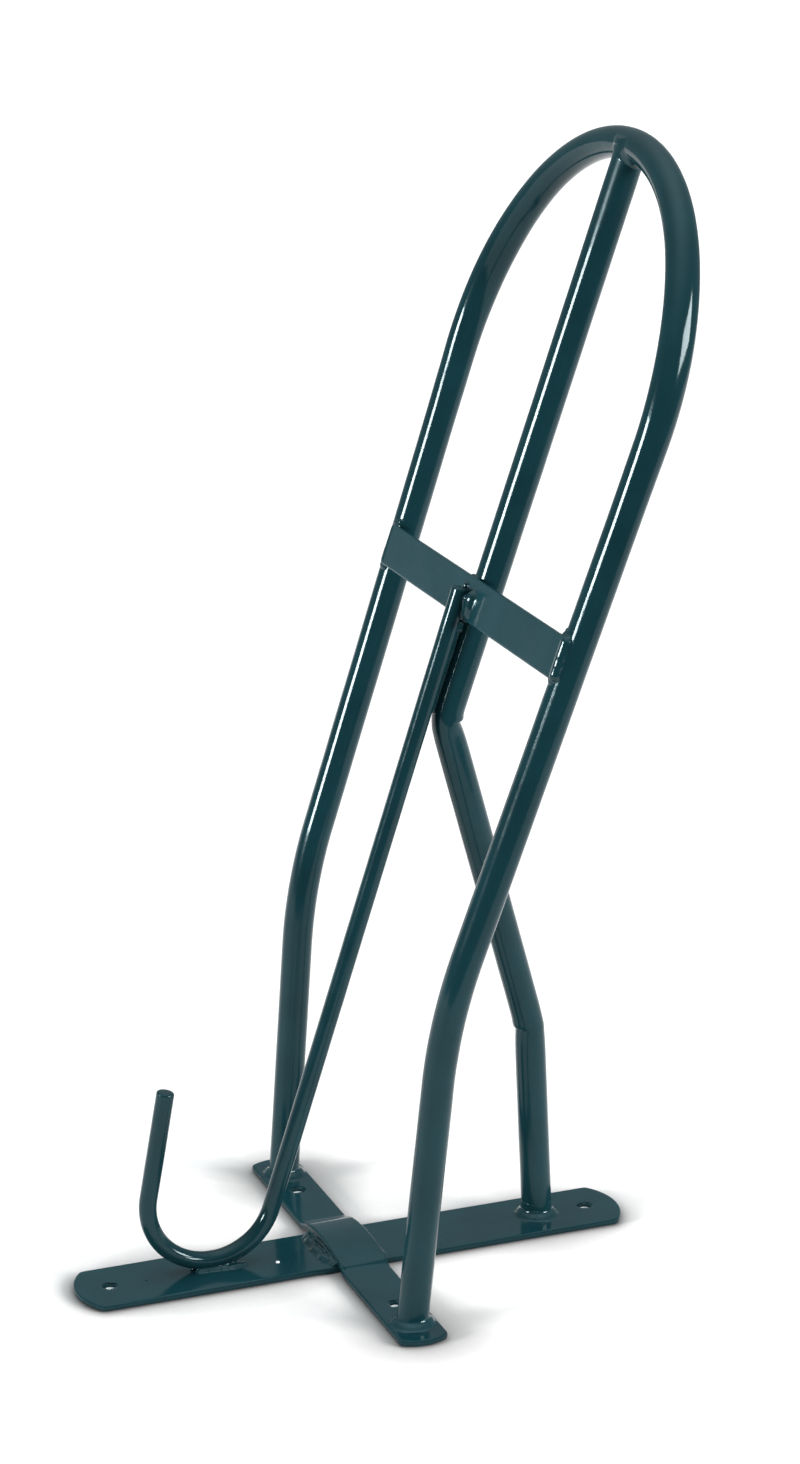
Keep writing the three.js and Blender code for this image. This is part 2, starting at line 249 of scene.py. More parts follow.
def hoop_half():
    """The hoop's left half from the foot to the nose, and the nose's radius."""
    foot = vec(0, FOOT_Y, PLATE - FOOT_SINK)
    low = vec(BEND_X, LEG_BEND_Y, BEND_Z)
    heading = UP_LEG * math.cos(SPLAY) + SIDE * math.sin(SPLAY)
    top = low + heading * LEG_RUN
    points, tangents, _ = bent_run([foot, low, top], BEND_R, 5.0, 3.0)
    inset = SHOULDER_R * (math.cos(SPLAY) - math.cos(SHOULDER_A - SPLAY))
    nose_r = (top[1] - inset) / math.cos(SHOULDER_A - SPLAY)
    bend(points, tangents, -OUTWARD, SHOULDER_R, SHOULDER_A, 2.5)
    bend(points, tangents, -OUTWARD, nose_r, math.pi / 2 + SPLAY - SHOULDER_A, 2.5)
    return points, tangents, nose_r


def arc_length(points):
    steps = np.linalg.norm(np.diff(points, axis=0), axis=1)
    return np.concatenate([[0], np.cumsum(steps)])


# ---- Swept bars and tubes ----


END_STEPS = 5
END_CLEAR = 0.2


def round_end(radius):
    """(shift, inset) of the rings that round an end's edge, from the bar's side outwards."""
    angles = [k * math.pi / (2 * END_STEPS) for k in range(END_STEPS + 1)]
    return [(radius * (math.sin(a) - 1), radius * (1 - math.cos(a))) for a in angles]


def stations(s, edge):
    """(point, shift, inset) of each ring of a swept bar. edge is the radius of its end edges."""
    if not edge:
        return [(i, 0.0, 0.0) for i in range(len(s))]
    clear = edge + END_CLEAR
    rings = [(0, -shift, inset) for shift, inset in reversed(round_end(edge))]
    rings += [(i, 0.0, 0.0) for i in range(len(s)) if clear < s[i] < s[-1] - clear]
    rings += [(len(s) - 1, shift, inset) for shift, inset in round_end(edge)]
    return rings


def sweep(points, tangents, sides, across, shape, edge=0.0):
    """A closed round bar along a centre line.

    The section's angle is counted from the direction across. shape(i, angles, s) gives the radius
    round the section at point i, a length s along the bar.
    """
    points, tangents = np.array(points), np.array(tangents)
    s = arc_length(points)
    angles = np.arange(sides) * 2 * math.pi / sides
    rings = []
    for i, shift, inset in stations(s, edge):
        t = unit(tangents[i])
        a = unit(across - t * np.dot(across, t))
        b = np.cross(t, a)
        r = shape(i, angles, s[i]) - inset
        centre = points[i] + t * shift
        rings.append(centre + np.outer(r * np.cos(angles), a) + np.outer(r * np.sin(angles), b))
    verts = np.concatenate([*rings, [rings[0].mean(0)], [rings[-1].mean(0)]])
    return verts, ring_faces(len(rings), sides)


# ---- Flat bars ----


OUTLINE_STEP = 1.0


def bar_outline(low, high, width, end_r):
    """The plan of a bar with both ends rounded to a large radius, and its corners eased."""
    half = math.asin(width / 2 / end_r)
    points = []
    for centre, start in ((high - end_r, -half), (low + end_r, math.pi - half)):
        count = math.ceil(2 * half * end_r / OUTLINE_STEP)
        for i in range(count + 1):
            a = start + 2 * half * i / count
            points.append((centre + end_r * math.cos(a), end_r * math.sin(a)))
    return ease(points)


def ease(corners):
    """A closed outline at an even spacing, with its corners smoothed."""
    corners = np.array(corners)
    points = []
    for a, b in zip(corners, np.roll(corners, -1, 0)):
        count = max(1, round(np.linalg.norm(b - a) / OUTLINE_STEP))
        points += [a + (b - a) * i / count for i in range(count)]
    points = np.array(points)
    for _ in range(6):
        points = points * 0.5 + (np.roll(points, 1, 0) + np.roll(points, -1, 0)) * 0.25
    return points


def outline_normals(points):
    along = np.roll(points, -1, 0) - np.roll(points, 1, 0)
    n = np.stack([along[:, 1], -along[:, 0]], 1)
    return n / np.linalg.norm(n, axis=1)[:, None]


def circle(centre, radius, sides=40):
    a = np.arange(sides) * 2 * math.pi / sides
    return np.stack([centre[0] + radius * np.cos(a), centre[1] + radius * np.sin(a)], 1)


def edge_profile(thickness, rounding, steps=5):
    """(inset, height) down a rounded edge from the upper face to the lower one."""
    out = []
    for k in range(steps + 1):
        a = k * math.pi / 2 / steps
        out.append((rounding * (1 - math.sin(a)), thickness - rounding * (1 - math.cos(a))))
    lower = [(inset, thickness - z) for inset, z in reversed(out)]
    return out + lower


def hole_profile(thickness, steps=5):
    """(inset, height) down the wall of a drilled hole. Both its rims are well rounded by the coat."""
    heights = [thickness * (1 - k / (2 * steps)) for k in range(2 * steps + 1)]
    return [(HOLE_EDGE * abs(2 * z / thickness - 1) ** 1.4, z) for z in heights]


# Edges are held crisp by a loop of points this far inside them.
HOLD = 0.8


def rim_loops(outline, holes, thickness, rounding):
    """The outline and each hole, as rings down their edges and the rings' heights."""
    n = outline_normals(outline)
    rim = edge_profile(thickness, rounding)
    loops = [([outline - n * inset for inset, _ in rim], [z for _, z in rim])]
    rim = hole_profile(thickness)
    for centre in holes:
        loops.append(([circle(centre, HOLE_R + inset) for inset, _ in rim], [z for _, z in rim]))
    return loops


def face_points(outline, holes, rounding, grid):
    """Points over the flat face: a loop just inside each edge, and a grid between them."""
    n = outline_normals(outline)
    inner = outline - n * (rounding + HOLD)
    hole_r = HOLE_R + HOLE_EDGE + HOLD
    points = [*inner]
    for centre in holes:
        points += [*circle(centre, hole_r)]
    low, high = outline.min(0), outline.max(0)
    for x in np.arange(low[0] + grid / 2, high[0], grid):
        for y in np.arange(low[1] + grid / 2, high[1], grid):
            p = np.array([x, y])
            near = np.argmin(((inner - p) ** 2).sum(1))
            inside = np.dot(p - inner[near], n[near]) <= -grid * 0.4
            if inside and all(np.linalg.norm(p - c) >= hole_r + grid / 2 for c in holes):
                points.append(p)
    return points


def triangulate(loops, extra):
    """Triangles over loops and extra points: points, triangles, and where each loop point went."""
    edges, start = [], 0
    for loop in loops:
        m = len(loop)
        edges += [(start + i, start + (i + 1) % m) for i in range(m)]
        start += m
    flat = [Vector(p) for loop in loops for p in loop] + [Vector(p) for p in extra]
    points, _, triangles, origins, _, _ = delaunay_2d_cdt(flat, edges, [], 1, 1e-6)
    index = {old: new for new, olds in enumerate(origins) for old in olds}
    return np.array([tuple(p) for p in points]), triangles, index


def plate(outline, holes, thickness, rounding, grid, wave, seed):
    """A flat bar with rounded edges and holes: points as (along, across, height) and faces."""
    loops = rim_loops(outline, holes, thickness, rounding)
    extra = face_points(outline, holes, rounding, grid)
    xy, triangles, index = triangulate([rings[0] for rings, _ in loops], extra)
    lift = wave * noise(np.column_stack([xy, np.zeros(len(xy))]), 14.0, seed)
    on_rims = sum(len(rings[0]) for rings, _ in loops)
    lift[[index[i] for i in range(on_rims)]] = 0
    count = len(xy)
    verts = [*np.column_stack([xy, thickness + lift]), *np.column_stack([xy, np.zeros(count)])]
    faces = []
    for triangle in triangles:
        middle = xy[list(triangle)].mean(0)
        if all(np.linalg.norm(middle - c) >= HOLE_R + 0.5 for c in holes):
            faces.append(tuple(triangle))
            faces.append(tuple(count + i for i in reversed(triangle)))
    start = 0
    for rings, heights in loops:
        m = len(rings[0])
        ids = [[index[start + i] for i in range(m)]]
        for ring, z in list(zip(rings, heights))[1:-1]:
            ids.append([len(verts) + i for i in range(m)])
            verts += [(p[0], p[1], z) for p in ring]
        ids.append([count + i for i in ids[0]])
        faces += walls(ids, outward=start == 0)
        start += m
    return np.array(verts), faces


def walls(ids, outward):
    """The faces down an edge, between loops of point numbers."""
    faces = []
    for upper, lower in zip(ids, ids[1:]):
        for i in range(len(upper)):
            j = (i + 1) % len(upper)
            quad = (upper[i], lower[i], lower[j], upper[j])
            faces.append(quad if outward else quad[::-1])
    return faces


# ---- Welds: the surface where a field is zero ----


def between(axis, inner):
    """Slices of a grid to the two ends of its edges along an axis, and inner along the others."""
    low, high = [inner] * 3, [inner] * 3
    low[axis], high[axis] = slice(0, -1), slice(1, None)
    return low, high


def crossing_means(grid, value, cell):
    """The mean point where the surface crosses each cell's edges, and how many edges it crosses."""
    shape = np.array(value.shape)
    cells = tuple(shape - 1)
    total, hits = np.zeros(cells + (3,)), np.zeros(cells)
    for axis in range(3):
        for bits in ((0, 0), (0, 1), (1, 0), (1, 1)):
            low, high = between(axis, slice(None))
            for other, bit in zip([o for o in range(3) if o != axis], bits):
                low[other] = high[other] = slice(bit, shape[other] - 1 + bit)
            a, b = value[tuple(low)], value[tuple(high)]
            cross = (a < 0) != (b < 0)
            at = grid[tuple(low)].copy()
            at[..., axis] += np.where(cross, a / np.where(cross, a - b, 1.0), 0.0) * cell
            total += np.where(cross[..., None], at, 0.0)
            hits += cross
    return total, hits


def net_faces(value, index):
    """A quad round each grid edge that the surface crosses."""
    faces = []
    for axis, (o1, o2) in enumerate([(1, 2), (2, 0), (0, 1)]):
        low, high = between(axis, slice(1, -1))
        a, b = value[tuple(low)] < 0, value[tuple(high)] < 0
        offset = np.ones(3, int)
        offset[axis] = 0
        for sign, where in ((1, a & ~b), (-1, ~a & b)):
            at = np.argwhere(where) + offset
            corners = []
            for s1, s2 in ((-1, -1), (0, -1), (0, 0), (-1, 0)):
                c = at.copy()
                c[:, o1] += s1
                c[:, o2] += s2
                corners.append(index[c[:, 0], c[:, 1], c[:, 2]])
            faces.append(np.stack(corners, 1)[:, ::sign])
    return np.concatenate(faces)


def settle(field, verts, cell):
    """Moves points towards the surface along the field's slope."""
    step = cell * 0.2
    f = field(verts)
    g = np.stack([field(verts + step * e) - field(verts - step * e) for e in np.eye(3)], 1) / (2 * step)
    move = -g * (f / np.maximum((g**2).sum(1), 0.05))[:, None]
    size = np.linalg.norm(move, axis=1)[:, None]
    return verts + move * np.minimum(1, cell * 0.5 / np.maximum(size, 1e-9))


def surface_net(field, low, high, cell):
    """A closed mesh of the surface field = 0, whose inside is negative."""
    axes = [np.arange(a - cell, b + 2 * cell, cell) for a, b in zip(low, high)]
    grid = np.stack(np.meshgrid(*axes, indexing="ij"), -1)
    value = field(grid.reshape(-1, 3)).reshape(grid.shape[:3])
    value[[0, -1]] = value[:, [0, -1]] = value[:, :, [0, -1]] = 1.0
    total, hits = crossing_means(grid, value, cell)
    mixed = hits > 0
    index = np.full(hits.shape, -1)
    index[mixed] = np.arange(mixed.sum())
    verts = total[mixed] / hits[mixed][:, None]
    for _ in range(2):
        verts = settle(field, verts, cell)
    return verts, net_faces(value, index)


def smooth_union(a, b, k):
    h = np.clip(k - np.abs(a - b), 0, None) / k
    return np.minimum(a, b) - h * h * k / 4


def common(*fields):
    """The field of what lies inside all the fields."""
    return np.max(fields, axis=0)


def round_bar(p, a, b, radius):
    """Distance to an endless round bar through two points."""
    d = unit(np.asarray(b, float) - a)
    q = p - a
    return np.linalg.norm(q - np.outer(q @ d, d), axis=1) - radius


def ball(p, centre, radius):
    return np.linalg.norm(p - centre, axis=1) - radius


def capsule(p, a, b, radius):
    ab = np.asarray(b, float) - a
    t = np.clip(((p - a) @ ab) / (ab @ ab), 0, 1)
    return np.linalg.norm(p - a - np.outer(t, ab), axis=1) - radius


def slab(p, centre, axes, half, rounding):
    """Distance to a box with rounded edges."""
    q = np.abs((p - centre) @ np.array(axes).T) - (np.array(half) - rounding)
    return np.linalg.norm(np.maximum(q, 0), axis=1) + np.minimum(q.max(1), 0) - rounding


def ring_bar(p, centre, normal, ring_r, radius):
    q = p - centre
    h = q @ normal
    flat = np.linalg.norm(q - np.outer(h, normal), axis=1)
    return np.hypot(flat - ring_r, h) - radius


# ---- Coated steel ----


def add_node(tree, kind, **values):
    """A shader node with its sockets and settings given by name."""
    node = tree.nodes.new(kind)
    for key, value in values.items():
        if key in node.inputs:
            node.inputs[key].default_value = value
        else:
            setattr(node, key, value)
    return node


def feed(tree, socket, value):
    """Links a socket to a source, or sets it to a number, a vector or a colour."""
    if isinstance(value, bpy.types.NodeSocket):
        tree.links.new(value, socket)
    else:
        socket.default_value = (*value, 1) if socket.type == "RGBA" else value


def feed_all(tree, node, values):
    """Feeds the named sockets of a node."""
    for name, value in values.items():
        feed(tree, node.inputs[name], value)


def maths(tree, operation, *values):
    """A math node over sources and numbers."""
    node = add_node(tree, "ShaderNodeMath", operation=operation)
    for socket, value in zip(node.inputs, values):
        feed(tree, socket, value)
    return node.outputs[0]


def noise_node(tree, place, scale, detail, rough, offset):
    """Noise over a place. The offset sets one pattern apart from another."""
    shift = add_node(tree, "ShaderNodeVectorMath", operation="ADD")
    shift.inputs[1].default_value = (offset, offset * 0.7, -offset)
    tree.links.new(place, shift.inputs[0])
    node = add_node(tree, "ShaderNodeTexNoise", Scale=scale, Detail=detail, Roughness=rough)
    tree.links.new(shift.outputs[0], node.inputs["Vector"])
    return node.outputs["Fac"]


def ramp(tree, source, stops):
    """Colours or greys by a source value: stops is a list of (place, colour)."""
    node = tree.nodes.new("ShaderNodeValToRGB")
    elements = node.color_ramp.elements
    while len(elements) < len(stops):
        elements.new(0.5)
    for element, (place, colour) in zip(elements, stops):
        element.position = place
        element.color = (*colour, 1) if len(colour) == 3 else (colour[0],) * 3 + (1,)
    tree.links.new(source, node.inputs["Fac"])
    return node.outputs["Color"]


def map_range(tree, value, limits, new_limits, interpolation="SMOOTHSTEP"):
    node = add_node(tree, "ShaderNodeMapRange", interpolation_type=interpolation)
    names = ("Value", "From Min", "From Max", "To Min", "To Max")
    feed_all(tree, node, dict(zip(names, (value, *limits, *new_limits))))
    return node.outputs["Result"]


def mix_colour(tree, factor, a, b):
    node = add_node(tree, "ShaderNodeMix", data_type="RGBA")
    feed_all(tree, node, {"Factor": factor, "A": a, "B": b})
    return node.outputs["Result"]


def height_of(tree, place):
    split = tree.nodes.new("ShaderNodeSeparateXYZ")
    tree.links.new(place, split.inputs[0])
    return split.outputs["Z"]


def new_material(name):
    """A material, its node tree, its shader and the place on the object in metres."""
    material = bpy.data.materials.new(name)
    material.use_nodes = True
    tree = material.node_tree
    place = tree.nodes.new("ShaderNodeTexCoord").outputs["Object"]
    return material, tree, tree.nodes["Principled BSDF"], place


def add_bumps(tree, shader, bumps):
    """Bumps on top of each other, each given as (source, strength, distance in metres)."""
    normal = None
    for height, strength, distance in bumps:
        bump = add_node(tree, "ShaderNodeBump", Strength=strength, Distance=distance)
        tree.links.new(height, bump.inputs["Height"])
        if normal is not None:
            tree.links.new(normal, bump.inputs["Normal"])
        normal = bump.outputs["Normal"]
    tree.links.new(normal, shader.inputs["Normal"])


COAT = np.array((0.0042, 0.0220, 0.0275))
SHEEN_TINT = (0.72, 0.96, 1.0)
COAT_IOR = 1.5
# Where the heat of the nose weld has dulled the centre tube: height, reach and added roughness
DULL_FROM, DULL_REACH, DULLED = 592.0, 35.0, 0.17


def coat_colour(tree, place, seed, coat, wear):
    """The coat pools a little, and wear leaves a paler haze."""
    pooled = noise_node(tree, place, 30.0, 3.0, 0.55, seed)
    colour = ramp(tree, pooled, [(0.3, tuple(coat * 0.88)), (0.7, tuple(coat * 1.12))])
    dust = noise_node(tree, place, 110.0, 5.0, 0.65, seed + 3.1)
    haze = ramp(tree, dust, [(0.58, (0.0,)), (0.85, (0.25 + wear,))])
    return mix_colour(tree, haze, colour, tuple(coat * 1.35 + 0.002))


def coat_roughness(tree, place, seed, gloss, wear, dulled):
    dull = noise_node(tree, place, 45.0, 4.0, 0.6, seed + 7.7)
    rough = ramp(tree, dull, [(0.3, (gloss,)), (0.8, (gloss + 0.08 + wear * 0.3,))])
    if not dulled:
        return rough
    band = (DULL_FROM * MM, (DULL_FROM + DULL_REACH) * MM)
    return maths(tree, "ADD", rough, map_range(tree, height_of(tree, place), band, (0.0, DULLED)))


def coat_material(
    name, seed, depth, sheen, tint=(1, 1, 1), peel=0.12, wave=0.35, lumps=0, gloss=0.09, wear=0, dulled=False
):
    """Dark green-blue gloss coat on steel.

    depth scales its colour, sheen its reflections. peel, wave and lumps are the strengths of its
    orange peel, its slow waviness and the lumps of a weld under it. gloss is its least roughness.
    """
    material, tree, shader, place = new_material(name)
    coat = COAT * depth * vec(*tint)
    looks = {
        "Base Color": coat_colour(tree, place, seed, coat, wear),
        "Roughness": coat_roughness(tree, place, seed, gloss, wear, dulled),
        "IOR": COAT_IOR,
        "Specular IOR Level": sheen,
        "Specular Tint": SHEEN_TINT,
        "Coat Weight": 0.6 * sheen,
        "Coat Roughness": 0.03,
        "Coat IOR": COAT_IOR,
    }
    feed_all(tree, shader, looks)
    bumps = [
        (noise_node(tree, place, 330.0, 2.0, 0.5, seed + 1.3), peel, 0.00005),
        (noise_node(tree, place, 70.0, 2.0, 0.5, seed + 5.9), wave, 0.00020),
    ]
    if lumps:
        bumps.append((noise_node(tree, place, 230.0, 2.0, 0.5, seed + 9.2), lumps, 0.0003))
    add_bumps(tree, shader, bumps)
    return material


# The bars' coat is painted brighter than the tubes' (depth 2.7 against 1.15) to make up for the softbox
# light they are spared: painted light.
BAR_COAT_PAINTED_LIT = coat_material(
    "bar_coat", 1.0, depth=2.7, sheen=0.21, tint=(1.05, 1.08, 1.08), wave=0.30, gloss=0.08, wear=0.05
)
TUBE_LOOK = {"seed": 12.0, "depth": 1.15, "sheen": 0.175, "peel": 0.17, "wave": 0.45}
TUBE_COAT = coat_material("tube_coat", **TUBE_LOOK)
CENTRE_COAT = coat_material("centre_coat", dulled=True, **TUBE_LOOK)
STRAP_COAT = coat_material(
    "strap_coat", 23.0, depth=1.5, sheen=0.24, peel=0.18, wave=0.45, gloss=0.14, wear=0.15
)
HOOK_COAT = coat_material("hook_coat", 34.0, depth=1.1, sheen=0.20)
WELD_COAT = coat_material(
    "weld_coat", 45.0, depth=1.15, sheen=0.28, peel=0.2, wave=0.5, lumps=0.15, gloss=0.10, wear=0.05
)


# ---- The tubes ----


def gauss(x, middle, width):
    return np.exp(-(((x - middle) / width) ** 2))


LEG_POINTS, LEG_TANGENTS, NOSE_R = hoop_half()
NOSE = LEG_POINTS[-1]
CENTRE_TOP = NOSE + SIDE * CENTRE_Y

# From the left foot over the nose to the right foot
HOOP = LEG_POINTS + [p * FLIP for p in LEG_POINTS[-2::-1]]
HOOP_T = LEG_TANGENTS + [-t * FLIP for t in LEG_TANGENTS[-2::-1]]
TUBE_SIDES, ROD_SIDES = 48, 36


def on_surface(point, angles, a, b, radius):
    """About where the points of a section are, for the noise on them."""
    return point + np.outer(np.cos(angles), a * radius) + np.outer(np.sin(angles), b * radius)


def build_hoop():
    """The bends at the shoulders leave the tube a little oval."""
    middle = arc_length(HOOP)[-1] / 2
    shoulder = middle - BEND_Z / math.cos(SPLAY) - LEG_RUN - 52

    def section(i, angles, s):
        bent = gauss(abs(s - middle), shoulder, 60)
        oval = bent * (1.0 * np.cos(angles) ** 2 - 0.75 * np.sin(angles) ** 2)
        surface = on_surface(HOOP[i], angles, OUTWARD, SIDE, TUBE_R)
        return TUBE_R + TUBE_COAT_T + oval + 0.05 * noise(surface, 17.0, 3)

    verts, faces = sweep(HOOP, HOOP_T, TUBE_SIDES, OUTWARD, section)
    make_piece("side_hoop_tube", verts, faces, TUBE_COAT, ["side_hoop"])


def build_centre_tube():
    foot = vec(CENTRE_FOOT_X, CENTRE_Y, PLATE - FOOT_SINK)
    low, high = vec(*CENTRE_LOW), in_plane(CENTRE_RUN, CENTRE_Y)
    points, tangents, middles = bent_run([foot, low, high, CENTRE_TOP], CENTRE_BEND_R, 2.0, 0.5)
    s = arc_length(points)
    low_s, high_s = s[middles]

    def section(i, angles, at):
        """Each bend is pinched on its inner side, with a fold above the pinch."""
        r = np.full(len(angles), TUBE_R + TUBE_COAT_T)
        for middle, inner, depth in ((low_s, math.pi, 1.3), (high_s, 0.0, 1.7)):
            towards = np.clip(np.cos(angles - inner), 0, 1)
            away = np.clip(-np.cos(angles - inner), 0, 1)
            below = middle - at
            tucked = math.exp(-below / 7.0) if below > 0 else math.exp(-((below / 0.9) ** 2))
            r -= depth * towards**1.3 * tucked
            r += 0.35 * depth * towards**2 * gauss(at, middle + 3.5, 3.0)
            r -= 0.35 * depth * away**2 * gauss(at, middle, 8.0)
            r += 0.28 * depth * np.sin(angles) ** 2 * gauss(at, middle, 6.0)
        near_nose = max(0.0, 1 - (s[-1] - at) / 46.0)
        surface = on_surface(points[i], angles, ALONG, SIDE, TUBE_R)
        return r + 0.05 * noise(surface, 17.0, 8) + 0.12 * near_nose * noise(surface, 6.0, 9)

    verts, faces = sweep(points, tangents, TUBE_SIDES, ALONG, section)
    verts = cope(verts, TUBE_SIDES)
    make_piece("centre_tube_bent", verts, faces, CENTRE_COAT, ["centre_tube"])


def cope(verts, sides):
    """Shapes the tube's upper end to the hoop's nose: the ring before the two caps' centres."""
    ring = np.arange(len(verts) - 2 - sides, len(verts) - 2)
    ids = np.append(ring, len(verts) - 1)
    q = verts[ids] - NOSE
    off = np.clip(q @ OUTWARD, -TUBE_R, TUBE_R)
    height = 1.5 - np.sqrt(TUBE_R**2 - off**2)
    verts[ids] += np.outer(height - q @ UP_LEG, UP_LEG)
    for back in range(1, 10):
        above = ring - back * sides
        limit = height[:-1] - 0.4 * back
        over = (verts[above] - NOSE) @ UP_LEG - limit
        verts[above] -= np.outer(np.clip(over, 0, None), UP_LEG)
    return verts


# ---- The hook ----


def hook_line():
    """From the end on the strap, down along the centre tube, round the J and up to the tip."""
    top = in_plane(HOOK_RUN, 0, HOOK_OFFSET)
    centre = vec(*HOOK_CENTRE)
    arm = top - centre
    start_a = math.atan2(arm[2], arm[0]) - math.acos(HOOK_R / np.linalg.norm(arm))
    start = centre + vec(math.cos(start_a), 0, math.sin(start_a)) * HOOK_R
    points, tangents = [top], [vec(math.sin(start_a), 0, -math.cos(start_a))]
    straight(points, tangents, start, 4.0)
    bend(points, tangents, SIDE, HOOK_R, math.pi + TIP_LEAN + start_a, 1.5)
    straight(points, tangents, points[-1] + tangents[-1] * TIP_LENGTH, 4.0)
    c, s = math.cos(HOOK_TILT), math.sin(HOOK_TILT)
    tilt = np.array([[1, 0, 0], [0, c, -s], [0, s, c]])
    return [tilt @ p for p in points], [tilt @ t for t in tangents]


HOOK, HOOK_T = hook_line()
HOOK_TOP, HOOK_AXIS = HOOK[0], -HOOK_T[0]


def build_hook():
    def section(i, angles, s):
        surface = on_surface(HOOK[i], angles, SIDE, ALONG, ROD_R)
        return ROD_R + ROD_COAT_T + 0.04 * noise(surface, 12.0, 21)

    verts, faces = sweep(HOOK, HOOK_T, ROD_SIDES, SIDE, section, HOOK_EDGE)
    make_piece("bridle_hook_rod", verts, faces, HOOK_COAT, ["bridle_hook"])


# ---- The flat bars ----


def build_long_bar():
    outline = bar_outline(LONG_LOW, LONG_HIGH, LONG_W, LONG_END_R)
    holes = [(LONG_LOW + LONG_HOLE_INSET, 0.0), (LONG_HIGH - LONG_HOLE_INSET, 0.0)]
    verts, faces = plate(outline, holes, PLATE, BAR_EDGE, 3.0, 0.05, 31)
    verts[:, 1] += LONG_Y
    return make_piece("long_wall_bar_flat", verts, faces, BAR_COAT_PAINTED_LIT, ["long_wall_bar"])


def joggle(y):
    """Height and slope of the short bar's underside along its length.

    The raised part is bowed, and the steps are drawn out, the far one most of all.
    """
    rise = PLATE + GAP
    run = STEP_OUT - STEP_IN + np.where(y < 0, 4.0, 8.0)
    outer = STEP_OUT + np.where(y < 0, 2.0, 5.0)
    t = np.clip((outer - np.abs(y)) / run, 0, 1)
    height = rise * t * t * (3 - 2 * t)
    slope = -np.sign(y) * rise * 6 * t * (1 - t) / run
    bow = SHORT_BOW * np.clip(1 - (y / STEP_IN) ** 2, 0, None)
    return height + bow, slope


def build_short_bar():
    outline = bar_outline(-SHORT_HALF, SHORT_HALF, SHORT_W, SHORT_END_R)
    holes = [(-SHORT_HOLE_Y, 0.0), (SHORT_HOLE_Y, 0.0)]
    verts, faces = plate(outline, holes, PLATE, BAR_EDGE, 2.0, 0.05, 37)
    along, across, up = verts.T
    height, slope = joggle(along)
    size = np.hypot(1, slope)
    bent = np.stack([-across, along - up * slope / size, height + up / size], 1)
    return make_piece("short_wall_bar_bent", bent, faces, BAR_COAT_PAINTED_LIT, ["short_wall_bar"])


def build_strap():
    w = STRAP_W / 2
    outline = ease([(STRAP_RIGHT, -w), (STRAP_LEFT, -w), (STRAP_LEFT, w), (STRAP_RIGHT, w)])
    verts, faces = plate(outline, [], STRAP_T, STRAP_EDGE, 3.0, 0.03, 41)
    placed = [in_plane(STRAP_RUN + w - b, a, STRAP_BACK + c) for a, b, c in verts]
    make_piece("cross_strap_flat", placed, faces, STRAP_COAT, ["cross_strap"])


# ---- Welds ----

# A weld is sunk this far into what it joins, so that no gap shows.
SINK = 0.15
RING_REACH = 16.0


def coated_tube(p, a, b):
    return round_bar(p, a, b, TUBE_R + TUBE_COAT_T) + SINK


def upper_centre_tube(p):
    """Distance to the centre tube above its upper bend, as if it had no end."""
    return coated_tube(p, in_plane(CENTRE_RUN, CENTRE_Y), CENTRE_TOP)


def bar_face(p):
    return p[:, 2] - PLATE + SINK


def strap_field(p):
    middle = in_plane(STRAP_RUN + STRAP_W / 2, (STRAP_LEFT + STRAP_RIGHT) / 2, STRAP_BACK + STRAP_T / 2)
    half = (STRAP_W / 2, (STRAP_LEFT - STRAP_RIGHT) / 2, STRAP_T / 2)
    return slab(p, middle, (UP_LEG, SIDE, OUTWARD), half, STRAP_EDGE) + SINK


def leg_direction(side, run):
    """A point of a leg and its heading, at a run up the leaning plane."""
    y = side * (LEG_BEND_Y + run * math.tan(SPLAY))
    return in_plane(run, y), unit(UP_LEG * math.cos(SPLAY) + SIDE * side * math.sin(SPLAY))


def build_weld(node, field, low, high, cell, ending="bead"):
    """A weld's mesh from its field, inside the box between two corners."""
    low, high = np.minimum(low, high), np.maximum(low, high)
    centre, half = (low + high) / 2, (high - low) / 2

    def clipped(p):
        return common(field(p), (np.abs(p - centre) - half).max(1))

    verts, faces = surface_net(clipped, low, high, cell)
    make_piece(f"{node}_{ending}", verts, faces, WELD_COAT, [node])


def cut_square(weld, q, up, side, out):
    """A weld cut to a box: half its size up the plane and to the side, and its lowest offset."""
    return common(weld, np.abs(q @ UP_LEG) - up, np.abs(q @ SIDE) - side, out - q @ OUTWARD)


def drop(p, centre, radius):
    """A drop of weld that has sunk a little."""
    return np.linalg.norm((p - centre) * vec(1, 1, 1.3), axis=1) - radius


def beads(p, start, end, radius, count, seed, wobble):
    """A run of overlapping drops of weld."""
    out = np.full(len(p), 1e3)
    for i in range(count):
        shift = noise(vec(i * 3.7, seed, 0)[None] * 1.37, 1.0, seed)[0]
        at = start + (end - start) * ((i + 0.5) / count)
        out = smooth_union(out, ball(p, at, radius * (1 + wobble * shift)), radius * 0.8)
    return out


def foot_weld(node, x, y, heading, seed, blend=6.2, bead=1.2):
    """A ring of weld round a tube's foot, which flares out over the bar."""
    foot = vec(x, y, PLATE)

    def field(p):
        tube = coated_tube(p, foot - heading * 4, foot + heading * 20)
        around = np.arctan2(p[:, 1] - y, p[:, 0] - x)
        ripple = 0.08 * np.cos(around * 13 + seed) + 0.5 * noise(p, 9.0, seed)
        ring = ring_bar(p, foot + vec(0, 0, 0.6), UP, TUBE_R + 1.0, bead) - ripple * 0.5
        flat = np.hypot(p[:, 0] - x, p[:, 1] - y) - RING_REACH
        edge = np.abs(p[:, 0] - x) - 14.2
        weld = smooth_union(smooth_union(tube, bar_face(p), blend), ring, 4.0)
        return common(weld, flat, edge)

    reach = vec(14.5, 16.5, 0)
    build_weld(node, field, foot - reach - UP * 1.2, foot + reach + UP * 10, 0.7, "ring")


